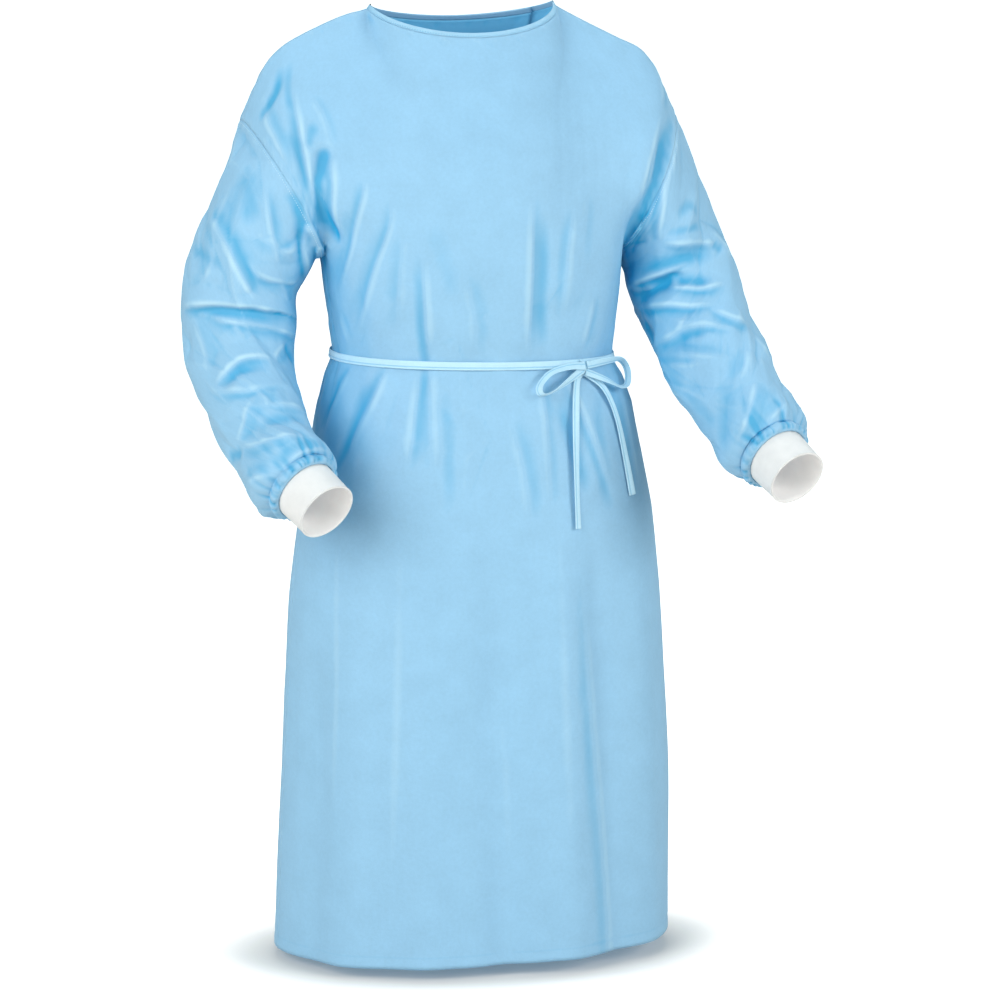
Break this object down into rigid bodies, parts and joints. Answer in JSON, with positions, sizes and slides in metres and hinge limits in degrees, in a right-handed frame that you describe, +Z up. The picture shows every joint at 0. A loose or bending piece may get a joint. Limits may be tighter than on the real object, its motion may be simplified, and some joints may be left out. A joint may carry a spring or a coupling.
{
  "type": "isolation gown",
  "caption": "Long-sleeved knee-length isolation gown of light cloth, hollow as when worn, with knitted cuffs, round neck, overlapping back and a thin tied waist belt.",
  "frame": {"origin": "midway between the two neck points, at the height where the wearer's shoulders carry the gown", "axes": "+Z up along the wearer's body, the gown's front faces -Y and the wearer's left arm is on +X"},
  "size_m": [0.7148, 0.4356, 1.1287],
  "materials": {
    "nonwoven_cloth": "matt spun nonwoven",
    "folded_tape": "matt folded nonwoven tape",
    "knitted_cuff": "soft fine knit"
  },
  "bodies": {
    "root": {"front_panel": "nonwoven_cloth", "back_panel_left": "nonwoven_cloth", "back_panel_right": "nonwoven_cloth", "sleeve_right_upper": "nonwoven_cloth", "sleeve_right_middle": "nonwoven_cloth", "sleeve_right_lower": "nonwoven_cloth", "sleeve_left_upper": "nonwoven_cloth", "sleeve_left_middle": "nonwoven_cloth", "sleeve_left_lower": "nonwoven_cloth", "cuff_right": "knitted_cuff", "cuff_left": "knitted_cuff", "neck_binding": "folded_tape", "belt_waist": "folded_tape", "bow_loop_rightward": "folded_tape", "bow_loop_leftward": "folded_tape", "belt_tail_rightward": "folded_tape", "belt_tail_leftward": "folded_tape", "belt_knot": "folded_tape"}
  },
  "joints": []
}
